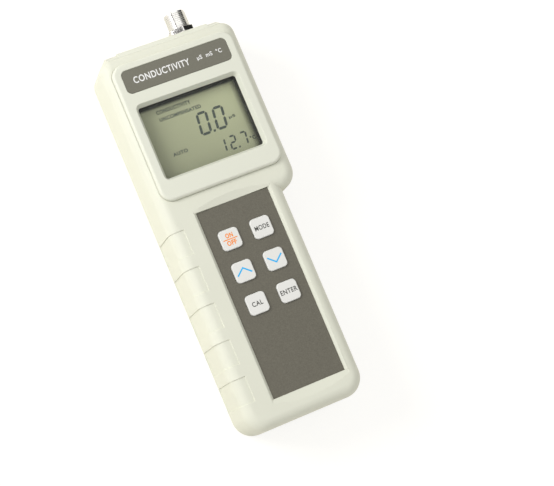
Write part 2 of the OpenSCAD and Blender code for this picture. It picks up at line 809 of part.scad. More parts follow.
module end_plate() {
    mid_z = case_h - 5;
    color(cream) difference() {
        union() {
            translate([-end_w / 2, 0, 0]) rotate([90, 0, 90]) linear_extrude(end_w)
                polygon([[top_y - 5, back_r + 1], [end_y - 1, back_r + 1], [end_y, back_r + 2], [end_y, mid_z - 3],
                    [top_y - 0.6, case_h - 2.6], [top_y - 5, case_h - 2.6]]);
            translate([-end_mid_w / 2, 0, 0]) rotate([90, 0, 90]) linear_extrude(end_mid_w)
                polygon([[top_y - 5, mid_z - 6], [end_y, mid_z - 6], [end_y, mid_z],
                    [top_y - 2.9, case_h - 0.9], [top_y - 5, case_h - 0.9]]);
            for (x = peg_xs) along_y(x, inner_y - 1, peg_z) cylinder(d = peg_d, h = wall + 2);
        }
        difference() {
            head_form(0);
            for (x = peg_xs) along_y(x, inner_y - 2, peg_z) cylinder(d = peg_d, h = wall + 3);
        }
        along_y(socket_x, inner_y - 2, socket_z) cylinder(d = barrel_d + 2 * fit, h = wall + 10);
    }
}

module along_socket(y) {
    along_y(socket_x, y, socket_z) children();
}

module connector_barrel() {
    color(steel) difference() {
        union() {
            along_socket(inner_y - flange_t) cylinder(d = barrel_d + 4, h = flange_t);
            along_socket(insert_back) cylinder(d = shank_d, h = barrel_y1 - insert_back);
            along_socket(nut_y1 + relief_w) cylinder(d = barrel_d, h = barrel_reach - relief_w);
        }
        along_socket(insert_back - 1) cylinder(d = core_d, h = barrel_y1 - insert_back + 2);
        along_socket(insert_y) cylinder(d = barrel_bore, h = socket_depth + 1);
    }
}

module connector_washer() {
    color(steel) difference() {
        along_socket(end_y) cylinder(d = nut_af + 1.2, h = washer_t);
        along_socket(end_y - 1) cylinder(d = barrel_d + 2 * fit, h = washer_t + 2);
    }
}

module connector_nut() {
    color(steel) difference() {
        along_socket(end_y + washer_t) rotate(30) cylinder(d = nut_af / cos(30), h = nut_h, $fn = 6);
        along_socket(end_y + washer_t - 1) cylinder(d = barrel_d + 0.1, h = nut_h + 2);
    }
}

module contact_places() {
    for (a = [0:360 / contact_n:359]) rotate(a) translate([contact_r, 0, 0]) children();
}

module connector_insert() {
    color(black) difference() {
        along_socket(insert_back) cylinder(d = core_d, h = insert_y - insert_back);
        along_socket(insert_back - 1) contact_places() cylinder(d = 1.4, h = insert_y - insert_back + 2);
    }
}

module connector_contacts() {
    color([0.8, 0.65, 0.3]) difference() {
        along_socket(insert_back - 2) contact_places() cylinder(d = 1.4, h = insert_y - insert_back + 1.8);
        along_socket(insert_y - 5) contact_places() cylinder(d = 0.9, h = 6);
    }
}

module connector_leads() {
    y0 = insert_back - 2;
    color([0.6, 0.2, 0.2]) for (a = [0:360 / contact_n:359])
        let (x = socket_x + contact_r * cos(a), z = socket_z - contact_r * sin(a),
            y1 = board_y1 - 3 - 1.2 * (socket_z + contact_r - z))
            tube([[x, y0, z], [x, y0 - 1, z], [x, y0 - 2.4, z - 0.4], [x, y1 + 2.2, z - 1.2], [x, y1 + 0.7, z - 1],
                [x, y1, board_z0 - 0.6], [x, y1, board_z0]], 0.5);
}

front_case();
rear_case();
display_bezel();
display_window();
name_plate();
display_frame();
lcd_front_glass();
lcd_rear_glass();
lcd_reflector();
lcd_pad();
lcd_contact_strips();
keypad_overlay();
key_on_off();
key_mode();
key_up();
key_down();
key_cal();
key_enter();
key_mat();
key_pills();
main_board();
board_chips();
board_passives();
crystal();
trimmers();
board_screws();
battery();
battery_snap();
battery_leads();
battery_door();
case_screws();
end_plate();
connector_barrel();
connector_washer();
connector_nut();
connector_insert();
connector_contacts();
connector_leads();
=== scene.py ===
# %% [markdown]
# # A hand-held conductivity meter
#
# This lesson dresses a hand-held instrument: a pale moulded case with a raised display bezel,
# a dark keypad with six square keys, and a bright threaded probe socket on the top end.
# The engineering model gives every piece at its real size and place. Blender adds what makes
# it look real: rounded mould edges, printed lettering, a display that reads something, a
# thread, and a finish for every surface.

# %% The frame and the units
import json
import math

import bmesh
import bpy
from mathutils import Euler, Matrix, Vector

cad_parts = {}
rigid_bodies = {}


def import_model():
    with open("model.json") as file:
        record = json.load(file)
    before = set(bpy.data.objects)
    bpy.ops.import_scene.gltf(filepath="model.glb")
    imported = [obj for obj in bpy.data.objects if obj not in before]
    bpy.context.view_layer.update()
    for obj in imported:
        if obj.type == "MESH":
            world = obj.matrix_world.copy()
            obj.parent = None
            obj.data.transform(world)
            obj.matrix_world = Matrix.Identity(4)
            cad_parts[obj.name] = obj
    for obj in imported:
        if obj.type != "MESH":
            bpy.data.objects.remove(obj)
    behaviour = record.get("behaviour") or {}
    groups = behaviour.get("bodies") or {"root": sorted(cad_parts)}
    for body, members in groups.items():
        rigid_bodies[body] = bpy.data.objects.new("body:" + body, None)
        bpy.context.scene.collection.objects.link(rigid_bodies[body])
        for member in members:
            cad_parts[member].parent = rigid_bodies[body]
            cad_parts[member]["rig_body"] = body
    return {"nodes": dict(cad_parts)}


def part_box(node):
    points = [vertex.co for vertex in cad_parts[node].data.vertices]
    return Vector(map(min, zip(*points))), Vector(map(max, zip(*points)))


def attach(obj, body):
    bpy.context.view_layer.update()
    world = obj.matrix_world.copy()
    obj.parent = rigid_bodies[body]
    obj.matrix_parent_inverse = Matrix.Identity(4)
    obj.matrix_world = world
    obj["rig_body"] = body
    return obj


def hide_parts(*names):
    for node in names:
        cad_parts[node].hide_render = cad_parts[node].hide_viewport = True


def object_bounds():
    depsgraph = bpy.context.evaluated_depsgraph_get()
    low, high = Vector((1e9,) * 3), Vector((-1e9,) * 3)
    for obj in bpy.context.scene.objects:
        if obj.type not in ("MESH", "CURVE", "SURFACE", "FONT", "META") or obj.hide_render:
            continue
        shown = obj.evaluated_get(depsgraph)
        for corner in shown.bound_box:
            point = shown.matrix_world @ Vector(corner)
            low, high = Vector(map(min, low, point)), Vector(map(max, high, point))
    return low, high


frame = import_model()
cad_low, cad_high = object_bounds()
nodes = frame["nodes"]
mm = 0.001
print("pieces in the frame:", len(nodes))

# %% [markdown]
# ## Small helpers
#
# Three steps come back all through the lesson: linking an object to the scene, turning an
# edited mesh into a plain one, and giving a mesh its one material.

# %% Objects, meshes and materials
def new_object(name, data):
    """An object that is linked to the scene."""
    made = bpy.data.objects.new(name, data)
    bpy.context.scene.collection.objects.link(made)
    return made


def as_mesh(form, name):
    """The plain mesh of an edited one, which is freed."""
    mesh = bpy.data.meshes.new(name)
    form.to_mesh(mesh)
    form.free()
    return mesh


def paint(mesh, material):
    """Gives a mesh its one material."""
    mesh.materials.clear()
    mesh.materials.append(material)


# %% [markdown]
# ## Camera
#
# The meter lies on its back and the camera looks down at it from its lower left. Such a view
# can be found by eye, but here it was worked out from the key grid and the display's edges,
# whose real sizes are known. A long lens keeps the two sides of the case almost parallel.

# %% Camera
camera_place = Vector((-199.18, -94.44, 762.01)) * mm
camera_turn = Euler([math.radians(a) for a in (11.8293, -12.5753, -23.4303)])
photo_width_px = 554
focal_length_px = 1605.93

camera_data = bpy.data.cameras.new("camera")
camera_data.sensor_width = 36
camera_data.lens = focal_length_px * camera_data.sensor_width / photo_width_px
camera_data.clip_start = 0.05
camera_data.clip_end = 20
camera = new_object("camera", camera_data)
camera.location = camera_place
camera.rotation_euler = camera_turn
bpy.context.scene.camera = camera
print("lens in millimetres:", round(camera_data.lens, 1))

# %% [markdown]
# ## Shader maths in Python
#
# A material's node tree is easier to read as a formula than as a list of nodes and links.
# `Value` wraps one socket, so that `0.4 + 0.1 * noise` adds the Math nodes by itself.
# `NodeTree` wraps a tree and has a single method, `add`, for every other node. The sky, the
# finishes and the thread are all built with these two, and `Finish` is the tree of a material.

# %% Values
def feed(tree, slot, value):
    """Links a wrapped socket to a node's input, or sets the input to a plain value."""
    if isinstance(value, Value):
        tree.links.new(value.socket, slot)
    elif isinstance(value, (tuple, list)) and slot.type == "RGBA" and len(value) == 3:
        slot.default_value = (*value, 1)
    else:
        slot.default_value = value


class Value:
    """One output socket, on which Python's operators build Math nodes."""

    def __init__(self, tree, socket):
        self.tree = tree
        self.socket = socket

    def math(self, operation, *values):
        node = self.tree.nodes.new("ShaderNodeMath")
        node.operation = operation
        for slot, value in zip(node.inputs, values):
            feed(self.tree, slot, value)
        return Value(self.tree, node.outputs[0])

    def __add__(self, other):
        return self.math("ADD", self, other)

    def __radd__(self, other):
        return self.math("ADD", other, self)

    def __sub__(self, other):
        return self.math("SUBTRACT", self, other)

    def __rsub__(self, other):
        return self.math("SUBTRACT", other, self)

    def __mul__(self, other):
        return self.math("MULTIPLY", self, other)

    def __rmul__(self, other):
        return self.math("MULTIPLY", other, self)

    def __truediv__(self, other):
        return self.math("DIVIDE", self, other)

    def __rtruediv__(self, other):
        return self.math("DIVIDE", other, self)

    def at_least(self, other):
        return self.math("MAXIMUM", self, other)

    def at_most(self, other):
        return self.math("MINIMUM", self, other)


# %% Trees and finishes
class NodeTree:
    """A node tree, to which nodes are added one at a time."""

    def __init__(self, tree):
        self.tree = tree
        tree.nodes.clear()

    def add(self, kind, inputs=None, output=0, **settings):
        """One node: its settings first, then its inputs by name or number. Gives one output."""
        node = self.tree.nodes.new(kind)
        for name, value in settings.items():
            setattr(node, name, value)
        for name, value in (inputs or {}).items():
            feed(self.tree, node.inputs[name], value)
        return Value(self.tree, node.outputs[output]) if len(node.outputs) else None


class Finish(NodeTree):
    """The tree of one material."""

    def __init__(self, name):
        self.material = bpy.data.materials.new(name)
        self.material.use_nodes = True
        super().__init__(self.material.node_tree)

    def place(self, stretch=(1, 1, 1)):
        here = self.add("ShaderNodeTexCoord", output="Object")
        return self.add("ShaderNodeMapping", {"Vector": here, "Scale": stretch})

    def along(self, axis):
        """The object coordinate on one axis, in metres."""
        here = self.add("ShaderNodeTexCoord", output="Object")
        return self.add("ShaderNodeSeparateXYZ", {"Vector": here}, output=axis)

    def noise(self, scale, detail=2.0, roughness=0.5, stretch=(1, 1, 1)):
        where = self.place(stretch)
        settings = {"Vector": where, "Scale": scale, "Detail": detail, "Roughness": roughness}
        return self.add("ShaderNodeTexNoise", settings, output="Fac")

    def blend_colours(self, factor, first, second):
        """A Mix node for colours. Its sockets share their names with others, so numbers serve."""
        inputs = {0: factor, 6: first, 7: second}
        return self.add("ShaderNodeMix", inputs, output=2, data_type="RGBA")

    def mix_shaders(self, factor, first, second):
        return self.add("ShaderNodeMixShader", {0: factor, 1: first, 2: second})

    def bump(self, height, strength, distance):
        inputs = {"Height": height, "Strength": strength, "Distance": distance}
        return self.add("ShaderNodeBump", inputs)

    def surface(self, inputs):
        self.show(self.add("ShaderNodeBsdfPrincipled", inputs))
        return self.material

    def show(self, shader):
        self.add("ShaderNodeOutputMaterial", {"Surface": shader})
        print(self.material.name, "nodes:", len(self.tree.nodes))


def shade(colour, amount):
    """The colour made lighter or darker by a factor."""
    return tuple(min(1, c * amount) for c in colour)


# %% [markdown]
# ## Light, floor and background
#
# The meter lies on a pale floor. One lamp stands at the upper left and rather low, so that every
# step and slope of the case shows. A weak one on the right and an even sky fill the rest. The
# white background is the sky and the floor as only the camera sees them, which adds no light to
# the object. Bright metal would look flat in an even sky, so mirrors see one that is bright
# overhead and dark towards the horizon and the right, and a black card besides.

# %% Sky
sky_light = 0.68
sky_seen = 1.06
sky_mirrored = 1.25
rim_mirrored = 0.02
dark_to_the_right = 0.6
rim_height = 0.3
climb_rate = 3.0

world = bpy.data.worlds.new("sky")
bpy.context.scene.world = world
world.use_nodes = True
sky = NodeTree(world.node_tree)

towards = sky.add("ShaderNodeTexCoord", output="Generated")
upwards = sky.add("ShaderNodeSeparateXYZ", {"Vector": towards}, output="Z")
rightwards = sky.add("ShaderNodeSeparateXYZ", {"Vector": towards}, output="X")
height = upwards - dark_to_the_right * rightwards
climb = ((height - rim_height) * climb_rate).at_least(0.0).at_most(1.0)
overhead = rim_mirrored + climb * (sky_mirrored - rim_mirrored)

seen = sky.add("ShaderNodeLightPath", output="Is Camera Ray")
seen_through_glass = sky.add("ShaderNodeLightPath", output="Is Transmission Ray")
mirrored = sky.add("ShaderNodeLightPath", output="Is Glossy Ray")
direct = seen.at_least(seen_through_glass)
strength = sky_light + direct * (sky_seen - sky_light) + mirrored * (overhead - sky_light)
sky_inputs = {"Color": (1, 0.995, 0.975), "Strength": strength}
sky.add("ShaderNodeOutputWorld", {"Surface": sky.add("ShaderNodeBackground", sky_inputs)})
print("sky nodes:", len(world.node_tree.nodes))


# %% Lamps
def area_lamp(name, towards, distance, size, energy):
    """A square lamp in the direction `towards`, which shines at the middle of the meter."""
    data = bpy.data.lights.new(name, "AREA")
    data.size = size
    data.energy = energy
    lamp = new_object(name, data)
    direction = Vector(towards).normalized()
    lamp.location = direction * distance
    lamp.rotation_euler = direction.to_track_quat("Z", "Y").to_euler()
    print(name, "at", [round(c, 2) for c in lamp.location])
    return lamp


area_lamp("main_lamp", (-0.66, 0.44, 0.58), 1.0, 0.36, 5.4)
area_lamp("fill_lamp", (0.75, 0.1, 0.65), 1.6, 0.9, 0.6)

# %% Black card
card_finish = Finish("black_card")
black_card = card_finish.material
card_finish.show(card_finish.add("ShaderNodeBsdfDiffuse", {"Color": (0.02, 0.018, 0.015)}))


def black_flag(name, corners):
    """A black card that only mirrors see, as photographers hang one by bright metal."""
    mesh = bpy.data.meshes.new(name)
    mesh.from_pydata([Vector(corner) * mm for corner in corners], [], [(0, 1, 2, 3)])
    paint(mesh, black_card)
    flag = new_object(name, mesh)
    for setting in ("visible_camera", "visible_diffuse", "visible_transmission", "visible_shadow"):
        setattr(flag, setting, False)
    return flag


black_flag("flag_over", [(-190, 120, 330), (-190, 420, 330), (-290, 420, 290), (-290, 120, 290)])

# %% Floor
floor_size = 6.0
floor_gap = 0.05
glow_share = 0.62

floor_finish = Finish("floor")
paper = floor_finish.add("ShaderNodeBsdfDiffuse", {"Color": (0.93, 0.9, 0.82)})
glow = floor_finish.add("ShaderNodeEmission", {"Color": (1, 1, 1), "Strength": 1.2})
camera_sees = floor_finish.add("ShaderNodeLightPath", output="Is Camera Ray")
seen_floor = floor_finish.mix_shaders(camera_sees * glow_share, paper, glow)
below = floor_finish.add("ShaderNodeNewGeometry", output="Backfacing")
clear = floor_finish.add("ShaderNodeBsdfTransparent")
floor_finish.show(floor_finish.mix_shaders(below, seen_floor, clear))

floor_mesh = bpy.data.meshes.new("floor")
half = floor_size / 2
floor_corners = [(-half, -half, 0), (half, -half, 0), (half, half, 0), (-half, half, 0)]
floor_mesh.from_pydata(floor_corners, [], [(0, 1, 2, 3)])
paint(floor_mesh, floor_finish.material)
floor = new_object("floor", floor_mesh)
floor.location = (0, 0, cad_low.z - floor_gap * mm)

# %% [markdown]
# ## Finishes
#
# Moulded plastic is never one flat colour: it has a fine grain from the mould, which scatters
# the gloss, and slow cloudy differences in tint. Both come from noise on object coordinates, so
# they stay on the part from every side. The other finishes change the same few numbers.

# %% Plastic finishes
def moulded_plastic(name, colour, roughness, grain_mm=0.35, grain_depth=0.03, cloud=0.03):
    """Plastic with a mould's fine grain and a slow, cloudy tint."""
    finish = Finish(name)
    grain = finish.noise(1 / (grain_mm * mm), detail=3, roughness=0.6)
    slow = finish.noise(1 / (24 * mm), detail=2)
    tint = finish.blend_colours(slow, shade(colour, 1 - cloud), shade(colour, 1 + cloud))
    return finish.surface({
        "Base Color": tint,
        "Roughness": roughness + 0.12 * (grain - 0.5),
        "Normal": finish.bump(grain, 0.35, grain_depth * mm),
        "IOR": 1.47,
    })


case_plastic = moulded_plastic("case_plastic", (0.752, 0.757, 0.645), 0.5)
bezel_plastic = moulded_plastic("bezel_plastic", (0.755, 0.765, 0.66), 0.42,
                                grain_depth=0.012, cloud=0.015)
key_plastic = moulded_plastic("key_plastic", (0.80, 0.795, 0.765), 0.38,
                              grain_depth=0.006, cloud=0.01)
black_plastic = moulded_plastic("black_plastic", (0.022, 0.02, 0.017), 0.6)
foam_finish = moulded_plastic("foam", (0.03, 0.03, 0.03), 0.9, grain_mm=0.8, grain_depth=0.1)
silicone = moulded_plastic("silicone", (0.23, 0.23, 0.235), 0.55, grain_depth=0.01)
chip_epoxy = moulded_plastic("chip_epoxy", (0.025, 0.025, 0.027), 0.62)
trimmer_blue = moulded_plastic("trimmer_blue", (0.02, 0.09, 0.38), 0.3, grain_depth=0.004)
lead_red = moulded_plastic("lead_red", (0.35, 0.03, 0.025), 0.4, grain_depth=0.005)
ceramic = moulded_plastic("ceramic", (0.42, 0.3, 0.15), 0.35, grain_depth=0.004)

# %% [markdown]
# ## Printed film
#
# The keypad's face and the name plate are thin plastic film, printed with dark screen ink. Such
# ink lies in fine specks, and the film has a faint orange peel. One flat grey would look like
# paper, so two noises of different size give the specks and the peel.

# %% Printed film of the keypad and the name plate
def printed_film(name, colour, roughness, speckle):
    """Screen ink on a matt film: fine specks of lighter ink and a soft orange-peel surface."""
    finish = Finish(name)
    dots = finish.noise(1 / (0.55 * mm), detail=1)
    peel = finish.noise(1 / (0.9 * mm), detail=2)
    tint = finish.blend_colours(dots, shade(colour, 1 - speckle), shade(colour, 1 + speckle))
    return finish.surface({
        "Base Color": tint,
        "Roughness": roughness + 0.1 * (dots - 0.5),
        "Normal": finish.bump(peel, 0.2, 0.02 * mm),
    })


overlay_film = printed_film("overlay_film", (0.130, 0.121, 0.092), 0.5, 0.3)
plate_film = printed_film("plate_film", (0.165, 0.16, 0.124), 0.45, 0.12)

# %% [markdown]
# ## Metals
#
# The socket is chrome-plated and was turned on a lathe, the screws are plated with zinc and the
# contacts with gold. Metal shows little but what it mirrors, so its finish is a colour, a low
# roughness and very fine marks. Noise that is squeezed along the socket's axis gives lines that
# run round it, as a lathe leaves them.

# %% Metals
def plated(name, colour, roughness, streak_mm, depth):
    """Plated metal with fine marks that run round the Y axis."""
    finish = Finish(name)
    marks = finish.noise(1 / (streak_mm * mm), detail=3, stretch=(1, 6, 1))
    return finish.surface({
        "Base Color": colour,
        "Metallic": 1.0,
        "Roughness": roughness + 0.1 * (marks - 0.5),
        "Normal": finish.bump(marks, 0.15, depth * mm),
    })


chrome = plated("chrome", (0.84, 0.83, 0.81), 0.1, 0.5, 0.003)
zinc = plated("zinc", (0.62, 0.62, 0.60), 0.32, 0.4, 0.02)
gold = plated("gold", (0.83, 0.62, 0.27), 0.22, 0.5, 0.005)
lcd_mirror = plated("lcd_mirror", (0.5, 0.52, 0.4), 0.45, 0.3, 0.01)

# %% [markdown]
# ## Circuit board and battery
#
# Both are hidden until the case is opened, so their finishes stay simple. The board's green mask
# lies over copper tracks, and a brick pattern with thin pale joints reads as tracks. The
# battery's printed jacket is dark with a copper-coloured band. The band needs no picture: the Y
# coordinate, less the place where the band starts, is its mask.

# %% Circuit board
def solder_mask():
    """Green mask over copper tracks, which show as a paler grid."""
    finish = Finish("solder_mask")
    weave = finish.noise(1 / (0.7 * mm), detail=2)
    tracks = finish.add("ShaderNodeTexBrick", {
        "Vector": finish.place(),
        "Color1": (0.02, 0.12, 0.045),
        "Color2": (0.016, 0.10, 0.038),
        "Mortar": (0.05, 0.2, 0.08),
        "Scale": 1 / (6 * mm),
        "Mortar Size": 0.012,
    }, output="Color")
    return finish.surface({
        "Base Color": tracks,
        "Roughness": 0.25 + 0.1 * weave,
        "Coat Weight": 0.3,
    })


board_green = solder_mask()

# %% Battery
copper_band = 17.0
band_edge = 0.25


def battery_jacket():
    """A printed steel jacket: dark, with a copper band near the contacts."""
    finish = Finish("battery_jacket")
    band_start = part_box("battery")[1].y - copper_band * mm
    band = (finish.along("Y") - band_start) * (1 / (band_edge * mm))
    band = band.at_most(1.0).at_least(0.0)
    wear = finish.noise(1 / (3 * mm), detail=3)
    dark = finish.blend_colours(wear, (0.018, 0.018, 0.02), (0.024, 0.024, 0.026))
    tint = finish.blend_colours(band, dark, (0.62, 0.33, 0.12))
    return finish.surface({"Base Color": tint, "Metallic": 0.55, "Roughness": 0.3 + 0.08 * wear})


battery_finish = battery_jacket()

# %% [markdown]
# ## Window and display glass
#
# The window is a thin clear sheet that mostly vanishes when it is faced, so its alpha is low and
# grows at a slant. The display behind it is a pale olive, with painted shade that darkens it to
# half towards the lower left. Its top and right edges lie in the shade of the black frame. That
# shade is soft and dark, so it is painted on the glass by position.

# %% Window
def clear_glass(name, colour, clearness, roughness):
    """Thin clear sheet: see-through when faced, and more mirror-like at a slant."""
    finish = Finish(name)
    slant = finish.add("ShaderNodeLayerWeight", {"Blend": 0.25}, output="Fresnel")
    smear = finish.noise(1 / (30 * mm), detail=2)
    return finish.surface({
        "Base Color": colour,
        "Roughness": roughness + 0.03 * smear,
        "Alpha": (1 - clearness) + slant * 0.35,
        "IOR": 1.49,
    })


window_clear = clear_glass("window_clear", (0.4, 0.42, 0.4), 0.96, 0.04)

# %% Display glass
shade_from_y = 66.0
shade_from_x = 22.6
shade_over_y = 1.3
shade_over_x = 2.0
side_share = 0.6
darkest = 0.98


def lcd_finish(name, pale, shaded_olive):
    """Polarised olive display glass, with painted shade to the lower left, top and right."""
    finish = Finish(name)
    low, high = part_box("lcd_front_glass")
    x, y = finish.along("X"), finish.along("Y")
    across = (x - low.x) * (0.5 / (high.x - low.x))
    up = (y - low.y) * (0.5 / (high.y - low.y))
    reach = across + up
    # painted shade: the olive falls to half its brightness towards the lower left
    olive = finish.blend_colours(reach * reach, shaded_olive, pale)
    top_shade = ((y - shade_from_y * mm) * (1 / (shade_over_y * mm))).at_least(0.0)
    side_shade = ((x - shade_from_x * mm) * (side_share / (shade_over_x * mm))).at_least(0.0)
    shaded = top_shade.at_least(side_shade).at_most(darkest)
    tint = finish.blend_colours(shaded, olive, (0.01, 0.01, 0.009))
    fleck = finish.noise(1 / (1.5 * mm), detail=2)
    return finish.surface({"Base Color": tint, "Roughness": 0.3 + 0.06 * fleck})


# the second colour is the first at half brightness, the painted shade of the lower left
lcd_olive = lcd_finish("lcd_olive", (0.78, 0.825, 0.51), (0.39, 0.413, 0.255))
print("finishes so far:", len(bpy.data.materials))

# %% [markdown]
# ## Mould edges
#
# Real mouldings have no knife edges: every outer edge is rounded by a few tenths of a
# millimetre, and that is where the highlights run. The engineering mesh is loose triangles, so
# a copy of each shell is merged and cleaned to flat faces, its steep edges are bevelled, and
# weighted normals keep the flats flat. Edges that are a little too flat for a bevel are marked
# sharp, so that a shallow step still shows as a line.

# %% Plain meshes
def settle(piece):
    """Turns the piece's modifiers into its plain mesh."""
    shown = piece.evaluated_get(bpy.context.evaluated_depsgraph_get())
    mesh = bpy.data.meshes.new_from_object(shown)
    piece.modifiers.clear()
    piece.data = mesh
    return piece


def carved(mesh, fillers, cutters):
    """The mesh with some closed meshes joined to it, and then others taken out of it."""
    block = new_object("block", mesh.copy())
    helpers = [block]
    for operation, forms in (("UNION", fillers), ("DIFFERENCE", cutters)):
        for form in forms:
            tool = new_object("tool", form)
            change = block.modifiers.new("change", "BOOLEAN")
            change.operation = operation
            change.solver = "EXACT"
            change.object = tool
            helpers.append(tool)
    result = settle(block).data
    for helper in helpers:
        bpy.data.objects.remove(helper)
    return result


# %% Rounded copies of the shells
same_place = 0.002
flat_angle = 0.5


def smooth_copy(node, name, edge_mm, finish, crease=25, sharp=35, fillers=(), cutters=()):
    """A copy of a node with rounded edges, which stands for the node on its body.

    Edges flatter than `crease` degrees are facets of a curve and are shaded smooth, edges up
    to `sharp` stay crisp, and edges beyond it are rounded.
    """
    source = nodes[node]
    form = bmesh.new()
    form.from_mesh(carved(source.data, fillers, cutters))
    bmesh.ops.remove_doubles(form, verts=form.verts, dist=same_place * mm)
    bmesh.ops.dissolve_limit(
        form, angle_limit=math.radians(flat_angle), verts=form.verts, edges=form.edges)
    for edge in form.edges:
        angle = math.degrees(edge.calc_face_angle(0))
        edge.smooth = not crease < angle < sharp
    piece = new_object(name, as_mesh(form, name))
    for face in piece.data.polygons:
        face.use_smooth = True
    bevel = piece.modifiers.new("edges", "BEVEL")
    bevel.width = edge_mm * mm
    bevel.segments = 2
    bevel.limit_method = "ANGLE"
    bevel.angle_limit = math.radians(sharp)
    bevel.use_clamp_overlap = False
    bevel.miter_outer = "MITER_ARC"
    normals = piece.modifiers.new("normals", "WEIGHTED_NORMAL")
    normals.keep_sharp = True
    settle(piece)
    paint(piece.data, finish)
    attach(piece, source["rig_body"])
    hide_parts(node)
    print(name, "faces:", len(piece.data.polygons))
    return piece


# %% [markdown]
# ## Scoops at the two ends of the keypad
#
# The surround falls to the keypad in a shallow scoop at each end, so that a finger finds the
# keys. A scoop is a piece of a wide cone: its upper edge is an arc, and every line down it is
# straight. The engineering model's own scoops reach too far and stop short of the overlay, so
# this copy is filled there first, and then the cones are cut. The cutter is a turned form that
# is clipped at the overlay's end and along the recess's sloping sides.

# %% Sizes of the scoops
overlay_low, overlay_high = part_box("keypad_overlay")
front_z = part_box("front_case")[1].z / mm
overlay_gap = 0.1
recess_half = overlay_high.x / mm + overlay_gap
side_run = 1.4
side_drop = front_z - overlay_high.z / mm
old_reach = 6.0
old_half = recess_half + side_run
filler_spare = 0.1
filler_deep = 1.5
filler_start = 1.0
scoop_radius = 68.0
scoop_depth = 1.2
upper_reach = 4.0
lower_reach = 5.1
scoop_over = 1.0
round_steps = 512
print("depth of the keypad's recess in millimetres:", round(side_drop, 2))


# %% Turned and clipped forms
def revolved(profile, centre_y):
    """A profile of radius and level, in millimetres, turned about an upright axis and closed."""
    form = bmesh.new()
    turns = [i * math.tau / round_steps for i in range(round_steps)]
    rings = []
    for radius, level in profile:
        places = [(radius * math.cos(a), centre_y + radius * math.sin(a), level) for a in turns]
        rings.append([form.verts.new(Vector(place) * mm) for place in places])
    for low, high in zip(rings, rings[1:]):
        for i in range(round_steps):
            j = (i + 1) % round_steps
            form.faces.new((low[i], low[j], high[j], high[i]))
    form.faces.new(rings[0])
    form.faces.new(rings[-1])
    return form


def clipped(form, planes, name):
    """A closed form cut off at some planes, each given by a point and its outward normal."""
    for point, outward in planes:
        cut = bmesh.ops.bisect_plane(
            form, geom=form.verts[:] + form.edges[:] + form.faces[:],
            plane_co=Vector(point) * mm, plane_no=outward, clear_outer=True)
        rim = [item for item in cut["geom_cut"] if isinstance(item, bmesh.types.BMEdge)]
        bmesh.ops.contextual_create(form, geom=rim)
    bmesh.ops.recalc_face_normals(form, faces=form.faces)
    print(name, "open edges:", sum(not edge.is_manifold for edge in form.edges))
    return as_mesh(form, name)


# %% Fillers and cutters
def old_scoop(edge_y, way):
    """The part's own scoop, as a block that fills it up to the surround."""
    radius = (old_half ** 2 + old_reach ** 2) / (2 * old_reach) + filler_spare
    profile = [(radius, front_z - filler_deep), (radius, front_z)]
    form = revolved(profile, edge_y + way * (old_reach + filler_spare - radius))
    return clipped(form, [((0, edge_y + way * filler_start, 0), (0, -way, 0))], "filler")


def new_scoop(edge_y, way, reach):
    """A hollow that falls at an even slope from an arc in the surround to the overlay's end."""
    run = reach * scoop_over / scoop_depth
    profile = [(scoop_radius - reach, front_z - scoop_depth),
               (scoop_radius + run, front_z + scoop_over)]
    form = revolved(profile, edge_y + way * (reach - scoop_radius))
    planes = [((0, edge_y, 0), (0, -way, 0))]
    for side in (-1, 1):
        foot = (side * recess_half, 0, front_z - side_drop)
        planes.append((foot, (side * side_drop, 0, -side_run)))
    return clipped(form, planes, "scoop")


top_y, low_y = overlay_high.y / mm, overlay_low.y / mm
filled = [old_scoop(top_y, 1), old_scoop(low_y, -1)]
scoops = [new_scoop(top_y, 1, upper_reach), new_scoop(low_y, -1, lower_reach)]

# %% [markdown]
# ## Every shell, and the pieces that stay as they are
#
# What the eye or a hand meets gets rounded edges, wider on the bezel and the nut than on the
# thin plates. The pieces inside keep the engineering mesh and only get a finish.

# %% Every shell
smooth_copy("front_case", "front_shell", 0.14, case_plastic, crease=8.8,
            fillers=filled, cutters=scoops)
smooth_copy("rear_case", "rear_shell", 0.14, case_plastic, crease=8.8)
smooth_copy("display_bezel", "bezel", 0.25, bezel_plastic)
smooth_copy("end_plate", "top_end_plate", 0.1, bezel_plastic)
smooth_copy("battery_door", "battery_cover", 0.2, case_plastic)
smooth_copy("name_plate", "plate", 0.06, plate_film)
smooth_copy("connector_nut", "socket_nut", 0.45, chrome)
smooth_copy("connector_washer", "socket_washer", 0.15, chrome)
for key in ("on_off", "mode", "up", "down", "cal", "enter"):
    smooth_copy(f"key_{key}", f"cap_{key}", 0.15, key_plastic)

# %% Finishes of the pieces that keep their form
finish_of = {
    "display_window": window_clear, "display_frame": black_plastic, "lcd_front_glass": lcd_olive,
    "lcd_rear_glass": lcd_olive, "lcd_reflector": lcd_mirror, "lcd_pad": foam_finish,
    "lcd_contact_strips": foam_finish, "keypad_overlay": overlay_film, "key_mat": silicone,
    "key_pills": foam_finish, "main_board": board_green, "board_chips": chip_epoxy,
    "board_passives": ceramic, "crystal": zinc, "trimmers": trimmer_blue, "board_screws": zinc,
    "battery": battery_finish, "battery_snap": black_plastic, "battery_leads": lead_red,
    "case_screws": zinc, "connector_barrel": chrome, "connector_insert": black_plastic,
    "connector_contacts": gold, "connector_leads": lead_red,
}
for name, finish in finish_of.items():
    paint(nodes[name].data, finish)
print("pieces that keep their form:", len(finish_of))

# %% [markdown]
# ## Printed lettering
#
# The keys and the plate are printed with ink a few hundredths of a millimetre thick. Each word
# is real text, made a mesh and fitted to the box that the printed word fills, so its size is
# set in millimetres and not by a font's own units.

# %% Inks
def ink(name, colour, roughness=0.45):
    """Printing ink, a little uneven in tint and gloss."""
    finish = Finish(name)
    film = finish.noise(1 / (0.4 * mm), detail=2)
    tint = finish.blend_colours(film, shade(colour, 0.95), shade(colour, 1.05))
    return finish.surface({"Base Color": tint, "Roughness": roughness + 0.08 * (film - 0.5)})


